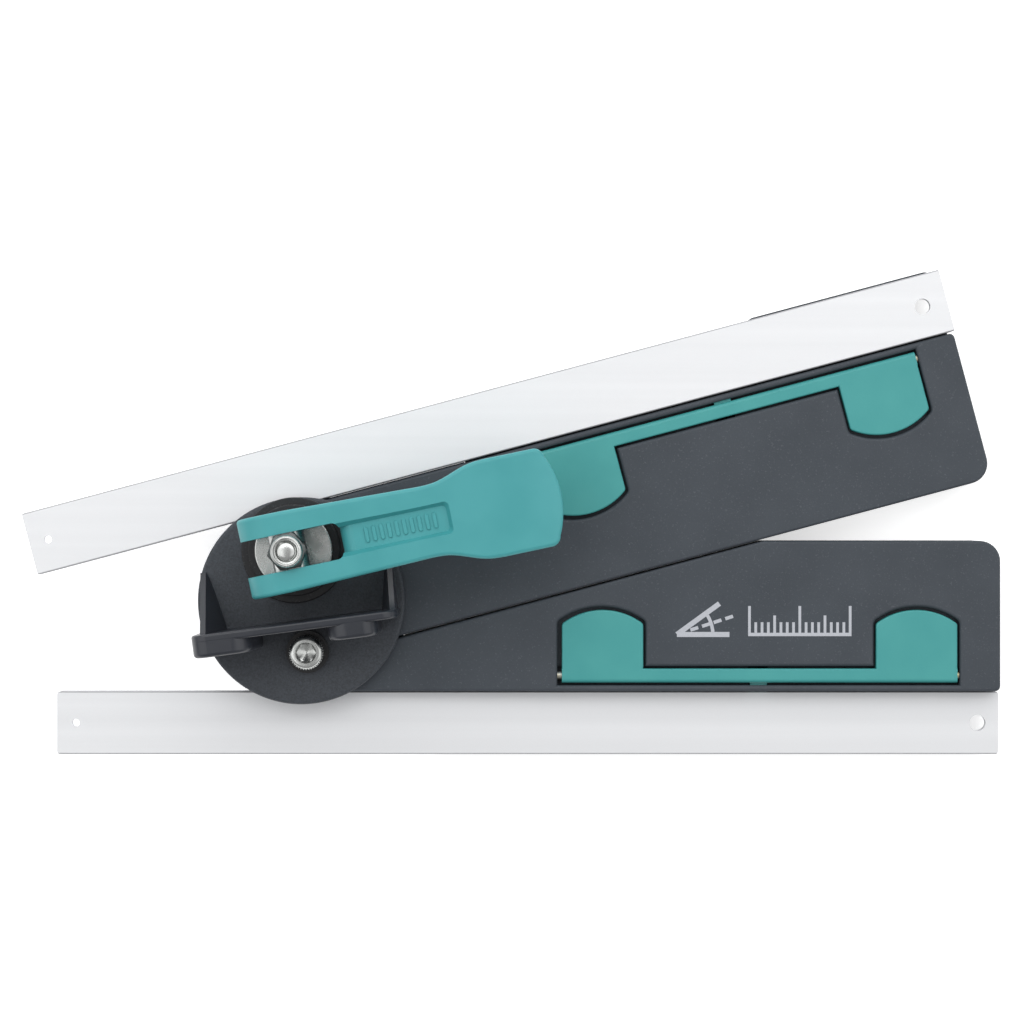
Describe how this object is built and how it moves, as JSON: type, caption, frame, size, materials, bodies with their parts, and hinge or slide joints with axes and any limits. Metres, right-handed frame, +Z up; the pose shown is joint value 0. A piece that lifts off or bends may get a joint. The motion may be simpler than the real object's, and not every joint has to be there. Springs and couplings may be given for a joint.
{
  "type": "sliding bevel",
  "caption": "Angle-bisecting sliding bevel: two geared arms with sliding straightedges and lock flaps, a hub with a fence on the bisector and a cam clamp lever.",
  "frame": {"origin": "centre of the hub's round base disc, on the plane the tool lies on", "axes": "+X along the lower arm and its rail, +Y toward the upper arm, +Z up through the clamp"},
  "size_m": [0.2892, 0.1435, 0.0509],
  "materials": {
    "arm_plastic": "finely eroded glass-filled plastic",
    "base_plastic": "plain moulded glass-filled plastic",
    "hub_plastic": "spark-textured plastic",
    "rail_aluminium": "satin anodised",
    "flap_teal": "satin",
    "lever_teal": "satin",
    "zinc_steel": "bright zinc-plated",
    "screw_steel": "zinc-plated",
    "pin_brass": "dull",
    "washer_black": "smooth"
  },
  "bodies": {
    "lower_arm": {"lower_arm_shell": "arm_plastic", "lower_arm_base": "base_plastic", "lower_arm_screws": "screw_steel", "lower_flap_pin": "pin_brass"},
    "lower_rail_body": {"lower_rail": "rail_aluminium"},
    "lower_flap_body": {"lower_lock_flap": "flap_teal"},
    "hub": {"base_disc": "base_plastic", "hub_plate": "hub_plastic", "upper_pivot_bush": "screw_steel", "lower_pivot_bush": "screw_steel", "pivot_screw": "zinc_steel", "pivot_washer": "washer_black", "pivot_nut": "screw_steel", "thrust_washer": "washer_black", "steel_washer": "zinc_steel"},
    "upper_arm": {"upper_arm_shell": "arm_plastic", "upper_arm_base": "base_plastic", "upper_arm_screws": "screw_steel", "upper_flap_pin": "pin_brass"},
    "upper_rail_body": {"upper_rail": "rail_aluminium"},
    "upper_flap_body": {"upper_lock_flap": "flap_teal"},
    "clamp_carrier": {"clamp_bolt": "zinc_steel", "barrel_pin": "zinc_steel", "clamp_nut": "zinc_steel"},
    "clamp_lever_body": {"clamp_lever": "lever_teal"}
  },
  "joints": [
    {"name": "hub_turn", "type": "hinge", "parent": "lower_arm", "child": "hub", "pos_m": [0.00195, -0.01487, 0], "axis": [0, 0, 1], "range_deg": [0, 82.5]},
    {"name": "upper_arm_turn", "type": "hinge", "parent": "hub", "child": "upper_arm", "pos_m": [-0.00195, 0.01487, 0], "axis": [0, 0, 1], "range_deg": [0, 82.5]},
    {"name": "lower_rail_slide", "type": "slide", "parent": "lower_arm", "child": "lower_rail_body", "axis": [1, 0, 0], "range_m": [0, 0.12]},
    {"name": "upper_rail_slide", "type": "slide", "parent": "upper_arm", "child": "upper_rail_body", "axis": [0.9663, 0.2575, 0], "range_m": [0, 0.12]},
    {"name": "lower_flap_lift", "type": "hinge", "parent": "lower_arm", "child": "lower_flap_body", "pos_m": [0.00195, -0.02227, 0.0137], "axis": [1, 0, 0], "range_deg": [0, 50]},
    {"name": "upper_flap_lift", "type": "hinge", "parent": "upper_arm", "child": "upper_flap_body", "pos_m": [-0.00385, 0.02202, 0.0137], "axis": [-0.9663, -0.2575, 0], "range_deg": [0, 50]},
    {"name": "clamp_swivel", "type": "hinge", "parent": "hub", "child": "clamp_carrier", "pos_m": [-0.00195, 0.01487, 0], "axis": [0, 0, 1], "range_deg": [-9, 150]},
    {"name": "clamp_cam", "type": "hinge", "parent": "clamp_carrier", "child": "clamp_lever_body", "pos_m": [-0.00195, 0.01487, 0.0392], "axis": [0.2062, -0.9785, 0], "range_deg": [0, 100]}
  ],
  "couplings": [
    {"joint": "upper_arm_turn", "follows": "hub_turn", "ratio": 1}
  ]
}
